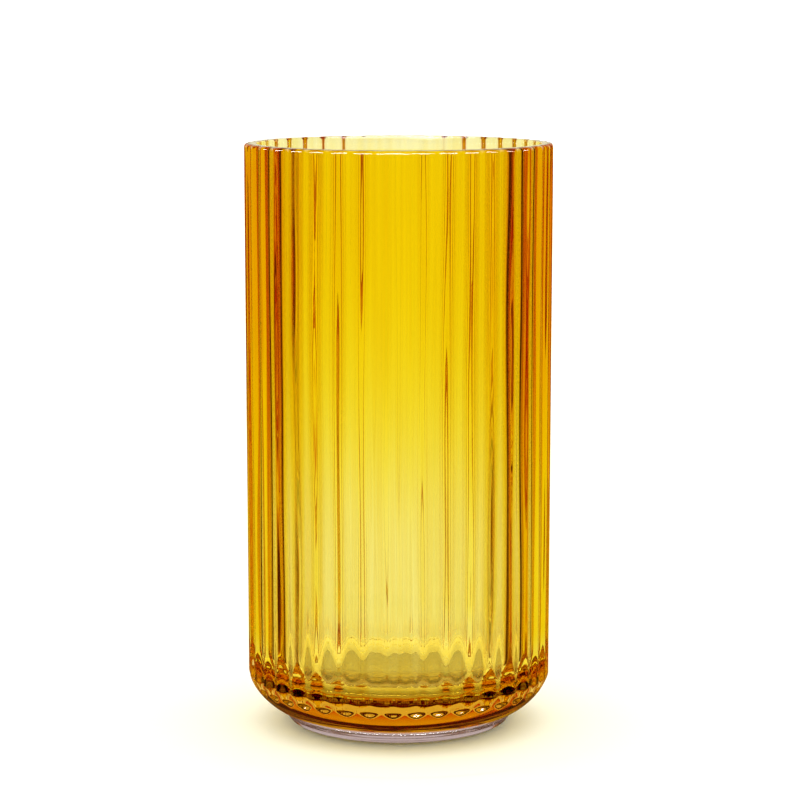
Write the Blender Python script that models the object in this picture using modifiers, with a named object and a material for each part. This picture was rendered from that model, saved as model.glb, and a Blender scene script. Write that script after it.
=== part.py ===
"""Hand blown art glass vase: a straight fluted cylinder of cased glass on a low clear foot.

The vase is blown in layers. An amber gather forms the inner cup, thicker towards the rim. A pale
casing is gathered over it and blown into a fluted mould, so its outside carries upright flutes that
end in round scoops on the lower corner. Its base is solid and thick. A clear foot is set under it.

Metres, +Z up. The origin is the centre of the circle that the foot stands on, at table height.
"""

import math

import bpy

# Driving dimensions
HEIGHT = 0.200  # table to rim
OUTER_RADIUS = 0.0525  # over the ridges between flutes, at the rim
TAPER = 0.9933  # radius low in the wall over radius at the rim
WALL = 0.0042  # amber and casing together, at a ridge
RIM_EDGE = 0.0004  # bevel of the rim's inner edge
RIM_ROLL = 0.0012  # rounding of the rim's outer edge
GAP = 0.0003  # kept between the pieces, which are fused in the real glass

# Flutes pressed into the outside by the mould
FLUTES = 40
FLUTE_DEPTH = 0.0014  # from the ridges to the middle of a flute
FLUTE_END = 0.0128  # height of a flute's lower end
FLUTE_RUNOUT = 0.0022  # height of the curve and the straight lip that end a flute

# Lower corner: part of a superellipse from the wall down and in to the flat base
CORNER_TOP = 0.0180
CORNER_POWER = 1.5
BASE_RADIUS = 0.0390
BASE_HEIGHT = 0.0050

# Foot
FOOT_BOTTOM_RADIUS = 0.0260
FOOT_POWER = 3.0
KICK_RADIUS = 0.0215  # polished hollow under the foot
KICK_DEPTH = 0.0020

# Cavity
FLOOR_HEIGHT = 0.0170
CAVITY_CORNER = 0.0120

# Amber layer: thick near the rim, thin low in the wall
AMBER_HIGH = 0.0021
AMBER_LOW = 0.0005
AMBER_THIN_BELOW = 0.055
AMBER_THICK_ABOVE = 0.180
AMBER_FLOOR = 0.0005

# Facets
STEPS_PER_FLUTE = 4
ROUND_STEPS = 64
ARC_STEPS = 6
CORNER_STEPS = 16
WALL_RINGS = 8


def clear_scene():
    for obj in list(bpy.data.objects):
        bpy.data.objects.remove(obj, do_unlink=True)


def collection(name):
    made = bpy.data.collections.new(name)
    bpy.context.scene.collection.children.link(made)
    return made


def material(name, colour, roughness):
    made = bpy.data.materials.new(name)
    made.use_nodes = True
    shader = made.node_tree.nodes["Principled BSDF"]
    shader.inputs["Base Color"].default_value = (*colour, 1.0)
    shader.inputs["Roughness"].default_value = roughness
    shader.inputs["Metallic"].default_value = 0.0
    shader.inputs["Transmission Weight"].default_value = 1.0
    shader.inputs["IOR"].default_value = 1.5
    return made


def smooth_step(value, low, high):
    part = min(max((value - low) / (high - low), 0.0), 1.0)
    return part * part * (3.0 - 2.0 * part)


def arc(centre, radii, start, end, steps=ARC_STEPS):
    """Points on an ellipse's arc in the (radius, height) plane, with angles in degrees from +radius."""
    points = []
    for i in range(steps + 1):
        angle = math.radians(start + (end - start) * i / steps)
        points.append((centre[0] + radii[0] * math.cos(angle), centre[1] + radii[1] * math.sin(angle)))
    return points


def rounded_drop(start, end, power, steps):
    """Points from start down and in to end along a quarter of a superellipse, upright at its start."""
    points = []
    for i in range(steps + 1):
        angle = math.radians(90.0 * i / steps)
        radius = end[0] + (start[0] - end[0]) * math.cos(angle) ** (2.0 / power)
        height = start[1] + (end[1] - start[1]) * math.sin(angle) ** (2.0 / power)
        points.append((radius, height))
    return points


def turned(name, profile, steps, shelf):
    """A solid of revolution. The profile runs from the axis over the top and down the outer side."""
    mesh = bpy.data.meshes.new(name)
    points = [(radius, 0.0, height) for radius, height in profile]
    edges = [(i, i + 1) for i in range(len(points) - 1)]
    mesh.from_pydata(points, edges, [])
    obj = bpy.data.objects.new(name, mesh)
    shelf.objects.link(obj)
    screw = obj.modifiers.new("Turn", "SCREW")
    screw.axis = "Z"
    screw.angle = math.tau
    screw.steps = steps
    screw.render_steps = steps
    screw.use_merge_vertices = True
    screw.merge_threshold = 0.00001
    screw.use_smooth_shade = True
    return obj


def made_real(obj):
    """Applies the object's modifiers, so that its points can be moved one by one."""
    graph = bpy.context.evaluated_depsgraph_get()
    mesh = bpy.data.meshes.new_from_object(obj.evaluated_get(graph))
    obj.modifiers.clear()
    obj.data = mesh
    return obj


def outer_radius(height):
    """Radius over the ridges: the blown wall widens slightly towards the rim."""
    part = min(max((height - CORNER_TOP) / (HEIGHT - CORNER_TOP), 0.0), 1.0)
    return OUTER_RADIUS * (TAPER + (1.0 - TAPER) * part)


def cavity_radius(height):
    return outer_radius(height) - WALL


def cavity_corner(depth, floor_depth):
    """The cavity's lower corner from its wall down to its floor, moved into the glass."""
    centre = (cavity_radius(0.0) - CAVITY_CORNER, FLOOR_HEIGHT + CAVITY_CORNER)
    return arc(centre, (CAVITY_CORNER + depth, CAVITY_CORNER + floor_depth), 0.0, -90.0)


def amber_outside(distance):
    """The amber's outer face from the rim down to the middle of its floor, moved out by distance."""
    wall_foot = FLOOR_HEIGHT + 1.5 * CAVITY_CORNER
    outline = []
    for i in range(WALL_RINGS + 1):
        height = HEIGHT + (wall_foot - HEIGHT) * i / WALL_RINGS
        grown = smooth_step(height, AMBER_THIN_BELOW, AMBER_THICK_ABOVE)
        thickness = AMBER_LOW + (AMBER_HIGH - AMBER_LOW) * grown
        outline.append((cavity_radius(height) + thickness + distance, height))
    outline += cavity_corner(AMBER_LOW + distance, AMBER_FLOOR + distance)
    return outline + [(0.0, FLOOR_HEIGHT - AMBER_FLOOR - distance)]


def amber_inner_layer(shelf):
    inside = [(0.0, FLOOR_HEIGHT)] + cavity_corner(0.0, 0.0)[::-1]
    rim_radius = cavity_radius(HEIGHT)
    rim = [(rim_radius, HEIGHT - RIM_EDGE), (rim_radius + RIM_EDGE, HEIGHT)]
    obj = turned("amber_inner_layer", inside + rim + amber_outside(0.0), ROUND_STEPS, shelf)
    obj.data.materials.append(material("amber_glass", (0.95, 0.62, 0.05), 0.03))
    return obj


def flute_cut(angle, height):
    """How far the mould's ribs press in. One turn of the angle is one flute."""
    below = min(max((FLUTE_END + FLUTE_RUNOUT - height) / FLUTE_RUNOUT, 0.0), 1.0)
    fade = 1.0 - (below * below if below < 0.5 else below - 0.25) / 0.75
    return FLUTE_DEPTH * max(0.5 + 0.5 * math.cos(angle) + fade - 1.0, 0.0)


def press_flutes(obj):
    """Moves the points of the outer wall inwards where the mould's ribs press the flutes."""
    for vertex in obj.data.vertices:
        radius = math.hypot(vertex.co.x, vertex.co.y)
        if radius < BASE_RADIUS:
            continue
        angle = FLUTES * math.atan2(vertex.co.y, vertex.co.x)
        pressed = 1.0 - flute_cut(angle, vertex.co.z) / radius
        vertex.co.x *= pressed
        vertex.co.y *= pressed


def casing_outside():
    """The outside of the casing before the flutes are pressed, from the rim's middle to the base's."""
    outline = [(0.0, HEIGHT)]
    outline += arc((OUTER_RADIUS - RIM_ROLL, HEIGHT - RIM_ROLL), (RIM_ROLL, RIM_ROLL), 90.0, 0.0, 3)
    corner_start = (outer_radius(0.0), CORNER_TOP)
    outline += rounded_drop(corner_start, (BASE_RADIUS, BASE_HEIGHT), CORNER_POWER, CORNER_STEPS)
    return outline + [(0.0, BASE_HEIGHT)]


def fluted_casing(shelf, cutters):
    steps = FLUTES * STEPS_PER_FLUTE
    obj = made_real(turned("fluted_casing", casing_outside(), steps, shelf))
    press_flutes(obj)
    bore = amber_outside(GAP)
    above = [(0.0, HEIGHT + WALL), (bore[0][0], HEIGHT + WALL)]
    cutter = turned("casing_bore_cutter", above + bore, ROUND_STEPS, cutters)
    cutter.hide_render = True
    cutter.display_type = "WIRE"
    hollow = obj.modifiers.new("Hollow", "BOOLEAN")
    hollow.operation = "DIFFERENCE"
    hollow.solver = "EXACT"
    hollow.object = cutter
    obj.data.shade_smooth()
    obj.data.materials.append(material("casing_glass", (0.96, 0.90, 0.72), 0.02))
    return obj


def clear_foot(shelf):
    top = BASE_HEIGHT - GAP
    side = rounded_drop((BASE_RADIUS, top), (FOOT_BOTTOM_RADIUS, 0.0), FOOT_POWER, 2 * ARC_STEPS)
    kick = []
    for i in range(ARC_STEPS + 1):
        part = i / ARC_STEPS
        kick.append((KICK_RADIUS * (1.0 - part), KICK_DEPTH * math.sin(0.5 * math.pi * part)))
    obj = turned("clear_foot", [(0.0, top)] + side + kick, ROUND_STEPS, shelf)
    obj.data.materials.append(material("foot_glass", (0.93, 0.92, 0.93), 0.02))
    return obj


def main():
    clear_scene()
    vase = collection("hand_blown_glass_vase")
    cutters = collection("cutters")
    amber_inner_layer(vase)
    fluted_casing(vase, cutters)
    clear_foot(vase)


main()
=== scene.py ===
"""Looks of the hand blown art glass vase: an amber cup cased in pale fluted glass, on a clear foot.

Metres, +Z up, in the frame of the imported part: the origin is on the table under the middle of the vase.
Cased layers are fused, so light bends only where glass meets air. The pale casing is therefore a closed
solid that holds every such face, the cavity's too, and the amber is a closed layer lying just inside the
cavity's face that colours the light and doesn't bend it.
"""

import math

import bpy
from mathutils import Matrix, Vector, noise


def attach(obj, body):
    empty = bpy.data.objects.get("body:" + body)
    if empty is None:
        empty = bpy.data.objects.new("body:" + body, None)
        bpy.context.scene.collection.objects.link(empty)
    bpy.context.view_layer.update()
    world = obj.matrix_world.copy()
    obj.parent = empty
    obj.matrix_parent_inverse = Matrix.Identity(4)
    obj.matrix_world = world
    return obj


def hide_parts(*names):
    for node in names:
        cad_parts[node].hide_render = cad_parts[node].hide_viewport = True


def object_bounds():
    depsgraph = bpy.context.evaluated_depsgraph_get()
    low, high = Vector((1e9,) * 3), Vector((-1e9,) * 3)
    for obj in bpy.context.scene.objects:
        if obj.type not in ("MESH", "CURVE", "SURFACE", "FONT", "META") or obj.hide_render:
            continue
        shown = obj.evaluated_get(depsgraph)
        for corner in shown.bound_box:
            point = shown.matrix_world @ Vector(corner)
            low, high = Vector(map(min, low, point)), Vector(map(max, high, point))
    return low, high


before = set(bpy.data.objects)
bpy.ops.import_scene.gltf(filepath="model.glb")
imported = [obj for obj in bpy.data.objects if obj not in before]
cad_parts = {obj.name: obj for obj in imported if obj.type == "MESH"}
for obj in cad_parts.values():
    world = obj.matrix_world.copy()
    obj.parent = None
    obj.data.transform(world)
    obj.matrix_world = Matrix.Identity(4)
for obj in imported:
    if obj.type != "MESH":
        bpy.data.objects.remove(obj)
CAD_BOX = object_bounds()

# Driving dimensions
HEIGHT = CAD_BOX[1].z
OUTER_RADIUS = 0.05234  # over the ridges between flutes, at the rim
TAPER = 0.9933  # radius low in the wall over radius at the rim
WALL = 0.0042  # amber and casing together, at a ridge
RIM_EDGE = 0.0004  # radius of the rim's edge on the inside
RIM_ROLL = 0.0012  # radius of the rim's edge on the outside

# Flutes pressed into the outside by the mould
FLUTES = 40
FLUTE_DEPTH = 0.0014  # from the ridges to the middle of a flute
FLUTE_END = 0.0128  # height of a flute's lower end
FLUTE_RUNOUT = 0.0022  # height of the curve and the straight lip that end a flute
FLUTE_CURVE = 0.5  # share of that height taken by the curve

# Lower corner, which drops from the wall to the flat base along part of a superellipse, and foot
CORNER_TOP = 0.0180
CORNER_POWER = 1.5
BASE_RADIUS = 0.0390  # where the flat base meets the lower corner
BASE_HEIGHT = 0.0050
FOOT_GAP = 0.0003  # between the base and the foot, which are fused in the real glass
FOOT_BOTTOM_RADIUS = 0.0260
FOOT_POWER = 3.0
KICK_RADIUS = 0.0215  # polished hollow under the foot
KICK_DEPTH = 0.0020
FOOT_RIPPLES = 3.0  # rings left round the foot's side by shaping it
FOOT_RIPPLE = 0.0002  # depth of a ring

# Cavity
FLOOR_HEIGHT = 0.0170
CAVITY_CORNER = 0.0120

# Amber layer, measured out from the cavity's face
AMBER_INSET = 0.00006  # casing glass between the amber and the cavity
AMBER_HIGH = 0.0021  # thickness near the rim
AMBER_LOW = 0.00044  # thickness low in the wall
AMBER_SIDES = 0.0004  # extra thickness on the sides at +X and -X
AMBER_THIN_BELOW = 0.055
AMBER_THICK_ABOVE = 0.180
AMBER_WALL_FOOT = 0.006  # where the wall's thickness starts, up from the cavity's corner
AMBER_LIP = 0.0005  # thickness in the lip, where the colour is drawn thin
LIP_TOP = 0.0055  # the lip's thin stretch, down from the rim
LIP_HEIGHT = 0.0080  # where the full thickness starts, down from the rim
LIP_SIDE = 90.0  # the lip is thinnest on this side, in degrees from +X
LIP_BLEND = 0.4  # cosine of the angle to that side at which the lip is fully thin
AMBER_CORNER = 0.0005  # thickness round the cavity's corner
AMBER_FLOOR = 0.0004  # thickness under the cavity's floor

# Absorption per metre of glass in red, green and blue
AMBER_ABSORPTION = (14.0, 95.0, 1500.0)
CASING_ABSORPTION = (3.0, 10.0, 40.0)
FOOT_ABSORPTION = (9.0, 12.5, 13.0)
GLASS_IOR = 1.5

# Upright streaks in the surfaces: (noise scale, share of that scale along Z)
SKIN_NOISE = (260.0, 0.06)
AMBER_NOISE = (190.0, 0.05)
STREAK_DETAIL = 2.0
SKIN_BUMP = 0.01
SKIN_BUMP_DEPTH = 0.0002
# Colour let through a surface of the amber at the two ends of its streaks: (noise level, colour)
AMBER_STREAKS = ((0.40, (0.985, 0.965, 0.86)), (0.60, (1.0, 1.0, 1.0)))

# Unevenness of hand-blown glass. Each noise is (waves round the vase, length up the wall, seed).
NOISE_GAIN = 1.6  # brings the noise to about -1 to 1
SWAY = 0.08  # sideways wander of a flute, in flute widths
SWAY_NOISE = (6.0, 0.09, 5.0)
DEPTH_UNEVEN = 0.2  # share of a flute's depth
DEPTH_NOISE = (14.0, 0.12, 1.0)
CAVITY_WAVE = 0.0002
CAVITY_NOISE = (16.0, 0.06, 8.0)

# Facets
STEPS_PER_FLUTE = 20
FOOT_STEPS = 256
ARC_STEPS = 20
INNER_RIM_STEPS = 5
OUTER_RIM_STEPS = 10
WALL_RINGS = 40
FLOOR_SIDES = 96
ON_AXIS = 1e-7  # a smaller radius is a point on the axis
HEIGHT_TOLERANCE = 0.0001  # keeps the ring at the foot of the amber's wall in the wall

# Camera, at the photograph's viewing angle, with angles in degrees
CAMERA_AZIMUTH = 2.3
CAMERA_DISTANCE = 18.0 * OUTER_RADIUS
CAMERA_HEIGHT = 4.753 * OUTER_RADIUS
CAMERA_PITCH = 8.26
CAMERA_LENS = 125.0
CAMERA_SHIFT = 0.0015
CAMERA_NEAR = 0.01
CAMERA_FAR = 50.0
SENSOR = 36.0

# Pale floor: a wide disc, and a small one just above it that light through the foot can see.
# Both lie just under the foot.
PAPER = (0.96, 0.945, 0.80)
PAPER_ROUGHNESS = 0.9
FLOOR_RADIUS = 3.0
FLOOR_DROP = 0.0001
NEAR_FLOOR_RADIUS = 0.075
NEAR_FLOOR_DROP = 0.00005

# Strength of the surroundings through the glass, and their brightness over that where seen directly
THROUGH_GLASS = 1.03
STUDIO = 1.65
# What the glass sees round it: (degrees from the backdrop's middle, colour). The warm dark gaps on
# both sides of the backdrop draw the dark lines of the glass.
SURROUNDINGS = (
    (46.0, (1.0, 1.0, 1.0)),
    (51.0, (0.70, 0.26, 0.03)),
    (57.0, (0.07, 0.010, 0.001)),
    (74.0, (0.05, 0.008, 0.001)),
    (79.0, (0.70, 0.34, 0.06)),
    (85.0, (0.96, 0.90, 0.78)),
)
# Grey that the glass sees high above and far below, with the elevations of its edges in degrees
GREY = 0.3
GREY_ABOVE = 55.0
GREY_BELOW = -60.0
GREY_BLEND = 5.0
# Colours of the backdrop in reflections on the glass: below and above the horizon, and at the sides
SHEEN_LOW = (0.10, 0.05, 0.01)
SHEEN_HIGH = (1.0, 0.92, 0.62)
SHEEN_SIDE = (0.02, 0.01, 0.002)
HORIZON_BLEND = 2.0
SHEEN_SIDE_FROM = 66.0
SHEEN_SIDE_BLEND = 4.0
# Wide lamp low behind the camera, seen only in reflections: its brightness, the elevations of its lower
# and upper edge, the azimuth of its sides and how soft each edge is, in degrees
LAMP = 18.0
LAMP_LOW = 6.0
LAMP_LOW_BLEND = 2.0
LAMP_HIGH = 28.0
LAMP_HIGH_BLEND = 4.0
LAMP_AZIMUTH = 115.0
LAMP_SIDE_BLEND = 5.0

# Light goes through many layers of glass before it leaves the vase
BOUNCES = 48
GLASS_BOUNCES = 32
TRANSPARENT_BOUNCES = 64

# Sockets of a Mix node that mixes colours
MIX_PART = 0
MIX_LOW = 6
MIX_HIGH = 7
MIX_RESULT = 2


# ---------------------------------------------------------------- shapes
def smooth_step(value, low, high):
    """0 below low and 1 above high, with a smooth change between them."""
    part = min(max((value - low) / (high - low), 0.0), 1.0)
    return part * part * (3.0 - 2.0 * part)


def arc(centre, radii, start, end, steps=ARC_STEPS):
    """Points on an ellipse's arc in the (radius, height) plane, with angles in degrees from +radius."""
    points = []
    for i in range(steps + 1):
        angle = math.radians(start + (end - start) * i / steps)
        points.append((centre[0] + radii[0] * math.cos(angle), centre[1] + radii[1] * math.sin(angle)))
    return points


def rounded_drop(start, end, power, steps=2 * ARC_STEPS):
    """Points from start down and in to end along a quarter of a superellipse, upright at its start."""
    points = []
    for i in range(steps + 1):
        angle = math.radians(90.0 * i / steps)
        radius = end[0] + (start[0] - end[0]) * math.cos(angle) ** (2.0 / power)
        height = start[1] + (end[1] - start[1]) * math.sin(angle) ** (2.0 / power)
        points.append((radius, height))
    return points


def unevenness(angle, height, kind):
    """Smooth noise between about -1 and 1 that closes round the vase."""
    waves, length, seed = kind
    reach = waves / math.pi
    point = Vector((reach * math.cos(angle), reach * math.sin(angle), height / length))
    return NOISE_GAIN * noise.noise(point + Vector((seed, 2.0 * seed, 3.0 * seed)))


def mesh_volume(mesh):
    """Signed volume inside a closed mesh, positive when its faces point out."""
    total = 0.0
    for face in mesh.polygons:
        corners = [mesh.vertices[i].co for i in face.vertices]
        for second, third in zip(corners[1:-1], corners[2:]):
            total += corners[0].dot(second.cross(third)) / 6.0
    return total


def turned(name, outline, steps, shape=None):
    """A closed solid turned round Z. The outline starts and ends on the axis.

    shape(angle, radius, height) gives the radius that a point of the turned surface moves to.
    """
    points = []
    rings = []
    for radius, height in outline:
        ring = []
        if radius < ON_AXIS:
            ring.append(len(points))
            points.append((0.0, 0.0, height))
        else:
            for step in range(steps):
                angle = math.tau * step / steps
                moved = shape(angle, radius, height) if shape else radius
                ring.append(len(points))
                points.append((moved * math.cos(angle), moved * math.sin(angle), height))
        rings.append(ring)
    faces = []
    for above, below in zip(rings[:-1], rings[1:]):
        for step in range(steps):
            after = (step + 1) % steps
            if len(above) == 1:
                faces.append((above[0], below[step], below[after]))
            elif len(below) == 1:
                faces.append((above[step], below[0], above[after]))
            else:
                faces.append((above[step], below[step], below[after], above[after]))
    mesh = bpy.data.meshes.new(name)
    mesh.from_pydata(points, [], faces)
    mesh.shade_smooth()
    mesh.update()
    if mesh_volume(mesh) < 0.0:
        mesh.flip_normals()
    obj = bpy.data.objects.new(name, mesh)
    bpy.context.scene.collection.objects.link(obj)
    return obj


# ---------------------------------------------------------------- the vase's surfaces
def outer_radius(height):
    """Radius over the ridges: the blown wall widens slightly towards the rim."""
    part = min(max((height - CORNER_TOP) / (HEIGHT - CORNER_TOP), 0.0), 1.0)
    return OUTER_RADIUS * (TAPER + (1.0 - TAPER) * part)


def cavity_radius(height):
    """Radius of the inside of the wall, which goes straight on below the cavity's corner."""
    return outer_radius(height) - WALL


def flute_fade(height):
    """1 along a flute and 0 below its end. Between them it falls in a curve and then straight."""
    below = min(max((FLUTE_END + FLUTE_RUNOUT - height) / FLUTE_RUNOUT, 0.0), 1.0)
    half_curve = 0.5 * FLUTE_CURVE
    if below < FLUTE_CURVE:
        fallen = 0.5 * below * below / FLUTE_CURVE
    else:
        fallen = below - half_curve
    return 1.0 - fallen / (1.0 - half_curve)


def flute_cut(angle, height):
    """Depth of the fluted outside below the ridges."""
    sway = SWAY * unevenness(angle, height, SWAY_NOISE)
    turn = math.cos(FLUTES * angle + math.tau * sway)
    depth = FLUTE_DEPTH * (1.0 + DEPTH_UNEVEN * unevenness(angle, height, DEPTH_NOISE))
    return depth * max(0.5 + 0.5 * turn + flute_fade(height) - 1.0, 0.0)


def cavity_wave(angle, height):
    """Waves that blowing leaves on the inside of the wall. They die out at the floor and the rim."""
    grown = smooth_step(height, FLOOR_HEIGHT, FLOOR_HEIGHT + 2.0 * CAVITY_CORNER)
    return CAVITY_WAVE * grown * unevenness(angle, height, CAVITY_NOISE)


def glass_shape(angle, radius, height):
    """Flutes the outside of the casing and waves its inside.

    The test for the lower corner also takes in a narrow ring low on the cavity's corner.
    """
    on_wall = radius > cavity_radius(height) + 0.5 * WALL
    on_corner = radius > BASE_RADIUS and height < CORNER_TOP
    if on_wall or on_corner:
        return radius - flute_cut(angle, height)
    if height > FLOOR_HEIGHT:
        return radius + cavity_wave(angle, height)
    return radius


def amber_thickness(angle, height):
    """Thick near the rim, thin low in the wall, and drawn thin in the lip on one side."""
    grown = smooth_step(height, AMBER_THIN_BELOW, AMBER_THICK_ABOVE)
    thickness = AMBER_LOW + (AMBER_HIGH - AMBER_LOW) * grown + AMBER_SIDES * math.cos(angle) ** 2
    in_lip = smooth_step(height, HEIGHT - LIP_HEIGHT, HEIGHT - LIP_TOP)
    thin_side = smooth_step(math.cos(angle - math.radians(LIP_SIDE)), -LIP_BLEND, LIP_BLEND)
    return thickness + (AMBER_LIP - thickness) * in_lip * thin_side


def cavity_outline(inset, top):
    """The inside of the vase from the middle of its floor up, moved into the glass by inset."""
    corner_centre = (cavity_radius(0.0) - CAVITY_CORNER, FLOOR_HEIGHT + CAVITY_CORNER)
    corner_radius = CAVITY_CORNER + inset
    outline = [(0.0, FLOOR_HEIGHT - inset)]
    outline += arc(corner_centre, (corner_radius, corner_radius), -90.0, 0.0)
    wall_foot = FLOOR_HEIGHT + CAVITY_CORNER
    for i in range(1, WALL_RINGS + 1):
        height = wall_foot + (top - wall_foot) * i / WALL_RINGS
        outline.append((cavity_radius(height) + inset, height))
    return outline


def outside_outline():
    """The outside from the rim's middle down to the middle of the base."""
    inner_centre = (cavity_radius(HEIGHT) + RIM_EDGE, HEIGHT - RIM_EDGE)
    outline = arc(inner_centre, (RIM_EDGE, RIM_EDGE), 180.0, 90.0, INNER_RIM_STEPS)[1:]
    wall_top = HEIGHT - RIM_ROLL
    outer_centre = (OUTER_RADIUS - RIM_ROLL, wall_top)
    outline += arc(outer_centre, (RIM_ROLL, RIM_ROLL), 90.0, 0.0, OUTER_RIM_STEPS)
    for i in range(1, WALL_RINGS):
        height = wall_top + (CORNER_TOP - wall_top) * i / WALL_RINGS
        outline.append((outer_radius(height), height))
    outline += rounded_drop((outer_radius(0.0), CORNER_TOP), (BASE_RADIUS, BASE_HEIGHT), CORNER_POWER)
    return outline + [(0.0, BASE_HEIGHT)]


# ---------------------------------------------------------------- materials
def empty_material(name):
    """A new material and its empty node tree."""
    made = bpy.data.materials.new(name)
    made.use_nodes = True
    made.node_tree.nodes.clear()
    return made, made.node_tree


def node(tree, kind, settings=None, values=None):
    """A new node with the given settings, and with values on the sockets of those names."""
    made = tree.nodes.new(kind)
    for key, value in (settings or {}).items():
        setattr(made, key, value)
    for key, value in (values or {}).items():
        made.inputs[key].default_value = value
    return made


def absorbing(tree, out, absorption):
    """Makes the inside of a piece take this much red, green and blue out of light per metre."""
    density = max(absorption)
    colour = [1.0 - share / density for share in absorption]
    inside = node(tree, "ShaderNodeVolumeAbsorption", values={"Color": (*colour, 1.0), "Density": density})
    tree.links.new(inside.outputs["Volume"], out.inputs["Volume"])


def upright_streaks(tree, kind):
    """Noise drawn out along Z."""
    scale, share_along_z = kind
    place = node(tree, "ShaderNodeTexCoord")
    stretch = node(tree, "ShaderNodeMapping", values={"Scale": (1.0, 1.0, share_along_z)})
    streaks = node(tree, "ShaderNodeTexNoise", values={"Scale": scale, "Detail": STREAK_DETAIL})
    tree.links.new(place.outputs["Object"], stretch.inputs["Vector"])
    tree.links.new(stretch.outputs["Vector"], streaks.inputs["Vector"])
    return streaks.outputs["Fac"]


def solid_glass(name, absorption):
    """Glass that bends light at its surface, which has very faint upright streaks."""
    made, tree = empty_material(name)
    bump = node(tree, "ShaderNodeBump", values={"Strength": SKIN_BUMP, "Distance": SKIN_BUMP_DEPTH})
    shader = node(
        tree,
        "ShaderNodeBsdfPrincipled",
        values={
            "Base Color": (1.0, 1.0, 1.0, 1.0),
            "Roughness": 0.0,
            "Transmission Weight": 1.0,
            "IOR": GLASS_IOR,
        },
    )
    out = node(tree, "ShaderNodeOutputMaterial")
    tree.links.new(upright_streaks(tree, SKIN_NOISE), bump.inputs["Height"])
    tree.links.new(bump.outputs["Normal"], shader.inputs["Normal"])
    tree.links.new(shader.outputs["BSDF"], out.inputs["Surface"])
    absorbing(tree, out, absorption)
    return made


def amber_glass(name):
    """Fused to the casing, so its surface only carries faint upright streaks of colour."""
    made, tree = empty_material(name)
    shades = node(tree, "ShaderNodeValToRGB")
    for stop, (position, colour) in zip(shades.color_ramp.elements, AMBER_STREAKS):
        stop.position = position
        stop.color = (*colour, 1.0)
    surface = node(tree, "ShaderNodeBsdfTransparent")
    out = node(tree, "ShaderNodeOutputMaterial")
    tree.links.new(upright_streaks(tree, AMBER_NOISE), shades.inputs["Fac"])
    tree.links.new(shades.outputs["Color"], surface.inputs["Color"])
    tree.links.new(surface.outputs["BSDF"], out.inputs["Surface"])
    absorbing(tree, out, AMBER_ABSORPTION)
    return made


def paper(name):
    """Matt and pale, for the floor."""
    made, tree = empty_material(name)
    shader = node(
        tree,
        "ShaderNodeBsdfPrincipled",
        values={"Base Color": (*PAPER, 1.0), "Roughness": PAPER_ROUGHNESS, "Specular IOR Level": 0.0},
    )
    out = node(tree, "ShaderNodeOutputMaterial")
    tree.links.new(shader.outputs["BSDF"], out.inputs["Surface"])
    return made


# ---------------------------------------------------------------- pieces
def fluted_casing():
    """The casing, which holds all the faces where the body of the vase meets air."""
    outline = cavity_outline(0.0, HEIGHT - RIM_EDGE) + outside_outline()
    obj = turned("fluted_casing_glass", outline, FLUTES * STEPS_PER_FLUTE, glass_shape)
    obj.data.materials.append(solid_glass("casing_glass", CASING_ABSORPTION))
    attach(obj, "root")
    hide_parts("fluted_casing")


def amber_inner_layer():
    """The amber cup, just inside the cavity's face. Its outer wall is turned at full wall thickness, and
    shape() then brings it in to the amber's thickness.
    """
    top = HEIGHT - RIM_EDGE
    inner = cavity_outline(AMBER_INSET, top)
    rim_centre = (cavity_radius(HEIGHT) + RIM_EDGE, top)
    rim_radius = RIM_EDGE - AMBER_INSET
    inner += arc(rim_centre, (rim_radius, rim_radius), 180.0, 90.0, INNER_RIM_STEPS)[1:]
    wall_foot = FLOOR_HEIGHT + CAVITY_CORNER + AMBER_WALL_FOOT
    outer = []
    for i in range(WALL_RINGS + 1):
        height = top + (wall_foot - top) * i / WALL_RINGS
        outer.append((cavity_radius(height) + WALL, height))
    corner_centre = (cavity_radius(0.0) - CAVITY_CORNER, FLOOR_HEIGHT + CAVITY_CORNER)
    corner_radii = (CAVITY_CORNER + AMBER_CORNER, CAVITY_CORNER + AMBER_FLOOR)
    outer += arc(corner_centre, corner_radii, 0.0, -90.0)
    outer.append((0.0, FLOOR_HEIGHT - AMBER_FLOOR))

    def shape(angle, radius, height):
        wave = cavity_wave(angle, height)
        on_outside = radius > cavity_radius(height) + 0.5 * WALL
        if on_outside and height > wall_foot - HEIGHT_TOLERANCE:
            return cavity_radius(height) + amber_thickness(angle, height) + wave
        return radius + wave

    obj = turned("amber_inner_layer_glass", inner + outer, FLUTES * STEPS_PER_FLUTE // 2, shape)
    obj.data.materials.append(amber_glass("amber_layer_glass"))
    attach(obj, "root")
    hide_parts("amber_inner_layer")


def clear_foot():
    """The foot, from its top over the ringed side to the hollow under it."""
    top = BASE_HEIGHT - FOOT_GAP
    outline = [(0.0, top)]
    for radius, height in rounded_drop((BASE_RADIUS, top), (FOOT_BOTTOM_RADIUS, 0.0), FOOT_POWER):
        ripple = 0.5 - 0.5 * math.cos(FOOT_RIPPLES * math.tau * height / top)
        outline.append((radius - FOOT_RIPPLE * ripple, height))
    for i in range(ARC_STEPS + 1):
        part = i / ARC_STEPS
        outline.append((KICK_RADIUS * (1.0 - part), KICK_DEPTH * math.sin(0.5 * math.pi * part)))
    obj = turned("clear_foot_glass", outline, FOOT_STEPS)
    obj.data.materials.append(solid_glass("foot_glass", FOOT_ABSORPTION))
    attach(obj, "root")
    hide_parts("clear_foot")


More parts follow.
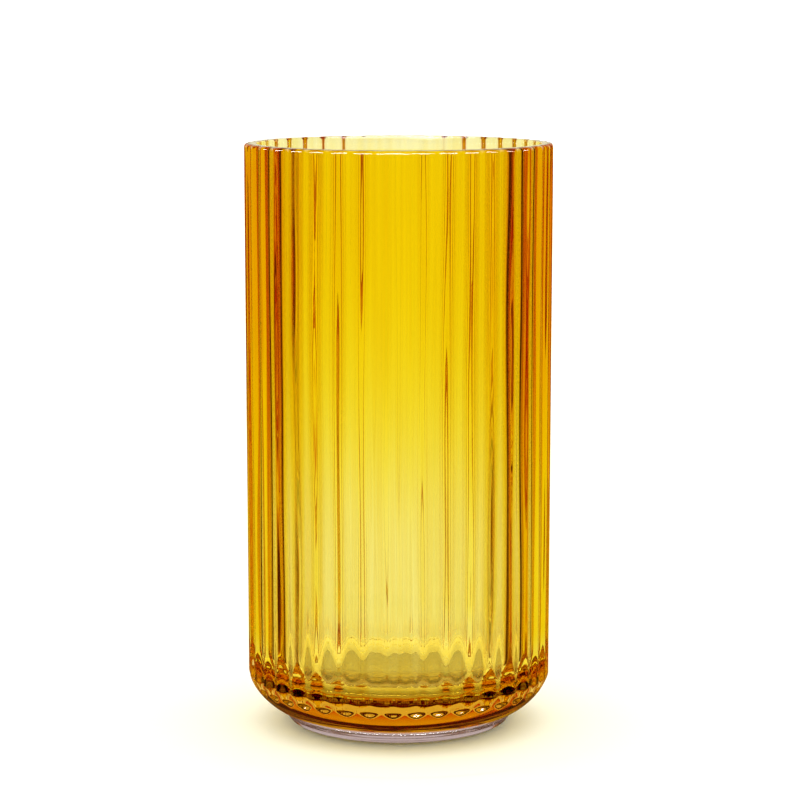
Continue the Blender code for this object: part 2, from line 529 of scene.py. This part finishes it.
# ---------------------------------------------------------------- studio
def camera():
    """The camera, turned a little from -Y and tilted down."""
    data = bpy.data.cameras.new("camera")
    data.sensor_width = SENSOR
    data.lens = CAMERA_LENS
    data.shift_x = CAMERA_SHIFT
    data.clip_start = CAMERA_NEAR
    data.clip_end = CAMERA_FAR
    obj = bpy.data.objects.new("camera", data)
    bpy.context.scene.collection.objects.link(obj)
    azimuth = math.radians(CAMERA_AZIMUTH)
    obj.location = (CAMERA_DISTANCE * math.sin(azimuth), -CAMERA_DISTANCE * math.cos(azimuth), CAMERA_HEIGHT)
    obj.rotation_euler = (math.radians(90.0 - CAMERA_PITCH), 0.0, azimuth)
    bpy.context.scene.camera = obj


def disc(name, radius, height, material):
    """A flat round sheet of the studio, facing up."""
    mesh = bpy.data.meshes.new(name)
    points = []
    for step in range(FLOOR_SIDES):
        angle = math.tau * step / FLOOR_SIDES
        points.append((radius * math.cos(angle), radius * math.sin(angle), height))
    mesh.from_pydata(points, [], [tuple(range(FLOOR_SIDES))])
    mesh.materials.append(material)
    obj = bpy.data.objects.new(name, mesh)
    bpy.context.scene.collection.objects.link(obj)
    return obj


def floor():
    """Only the small disc is seen through the glass, and neither is seen in reflections."""
    finish = paper("pale_floor")
    wide = disc("floor", FLOOR_RADIUS, -FLOOR_DROP, finish)
    wide.visible_transmission = False
    wide.visible_glossy = False
    near = disc("floor_under_foot", NEAR_FLOOR_RADIUS, -NEAR_FLOOR_DROP, finish)
    near.visible_glossy = False


def light():
    """White surroundings. The glass sees an upright dark gap on each side and reflects a low lamp."""
    world = bpy.data.worlds.new("studio")
    world.use_nodes = True
    bpy.context.scene.world = world
    tree = world.node_tree
    tree.nodes.clear()

    def calculate(operation, first, second=None):
        """A Math node on one or two values, each a number or a socket."""
        made = node(tree, "ShaderNodeMath", {"operation": operation})
        for socket, value in zip(made.inputs, (first, second)):
            if value is None:
                continue
            if isinstance(value, float):
                socket.default_value = value
            else:
                tree.links.new(value, socket)
        return made.outputs["Value"]

    def rise(value, start, width):
        """0 below start and 1 above it, with a soft change this wide to each side, in degrees."""
        made = node(tree, "ShaderNodeMapRange", {"interpolation_type": "SMOOTHSTEP"})
        made.inputs["From Min"].default_value = math.radians(start - width)
        made.inputs["From Max"].default_value = math.radians(start + width)
        tree.links.new(value, made.inputs["Value"])
        return made.outputs["Result"]

    def mixed(part, low, high):
        """low where part is 0, high where it is 1. Each is a grey level, a colour or a colour socket."""
        made = node(tree, "ShaderNodeMix", {"data_type": "RGBA"})
        tree.links.new(part, made.inputs[MIX_PART])
        for socket, value in ((made.inputs[MIX_LOW], low), (made.inputs[MIX_HIGH], high)):
            if isinstance(value, float):
                socket.default_value = (value, value, value, 1.0)
            elif isinstance(value, tuple):
                socket.default_value = (*value, 1.0)
            else:
                tree.links.new(value, socket)
        return made.outputs[MIX_RESULT]

    place = node(tree, "ShaderNodeTexCoord")
    axes = node(tree, "ShaderNodeSeparateXYZ")
    tree.links.new(place.outputs["Generated"], axes.inputs["Vector"])
    azimuth = calculate("ABSOLUTE", calculate("ARCTAN2", axes.outputs["X"], axes.outputs["Y"]))
    elevation = calculate("ARCSINE", axes.outputs["Z"])

    ring = node(tree, "ShaderNodeValToRGB")
    tree.links.new(calculate("DIVIDE", azimuth, math.pi), ring.inputs["Fac"])
    stops = ring.color_ramp.elements
    while len(stops) < len(SURROUNDINGS):
        stops.new(1.0)
    for stop, (degrees, colour) in zip(stops, SURROUNDINGS):
        stop.position = degrees / 180.0
        stop.color = (*colour, 1.0)
    through_glass = mixed(rise(elevation, GREY_ABOVE, GREY_BLEND), ring.outputs["Color"], GREY)
    through_glass = mixed(rise(elevation, GREY_BELOW, GREY_BLEND), GREY, through_glass)

    off_backdrop = mixed(rise(elevation, 0.0, HORIZON_BLEND), SHEEN_LOW, SHEEN_HIGH)
    at_sides = rise(azimuth, SHEEN_SIDE_FROM, SHEEN_SIDE_BLEND)
    off_glass = mixed(at_sides, off_backdrop, SHEEN_SIDE)
    over_low_edge = rise(elevation, LAMP_LOW, LAMP_LOW_BLEND)
    over_high_edge = rise(elevation, LAMP_HIGH, LAMP_HIGH_BLEND)
    in_lamp = calculate("SUBTRACT", over_low_edge, over_high_edge)
    in_lamp = calculate("MULTIPLY", in_lamp, rise(azimuth, LAMP_AZIMUTH, LAMP_SIDE_BLEND))
    off_glass = mixed(in_lamp, off_glass, LAMP)

    # The light that falls on the floor comes from the same white that the camera sees
    path = node(tree, "ShaderNodeLightPath")
    colour = mixed(path.outputs["Is Reflection Ray"], through_glass, off_glass)
    lights_floor = calculate("GREATER_THAN", path.outputs["Diffuse Depth"], 0.5)
    direct = calculate("MAXIMUM", lights_floor, path.outputs["Is Camera Ray"])
    colour = mixed(direct, colour, STUDIO)
    background = node(tree, "ShaderNodeBackground", values={"Strength": THROUGH_GLASS})
    out = node(tree, "ShaderNodeOutputWorld")
    tree.links.new(colour, background.inputs["Color"])
    tree.links.new(background.outputs["Background"], out.inputs["Surface"])


def light_paths():
    """Lets light through all the layers, and keeps the colours as they are lit."""
    scene = bpy.context.scene
    scene.cycles.max_bounces = BOUNCES
    scene.cycles.transmission_bounces = GLASS_BOUNCES
    scene.cycles.glossy_bounces = GLASS_BOUNCES
    scene.cycles.transparent_max_bounces = TRANSPARENT_BOUNCES
    scene.view_settings.view_transform = "Standard"


fluted_casing()
amber_inner_layer()
clear_foot()
floor()
light()
light_paths()
camera()
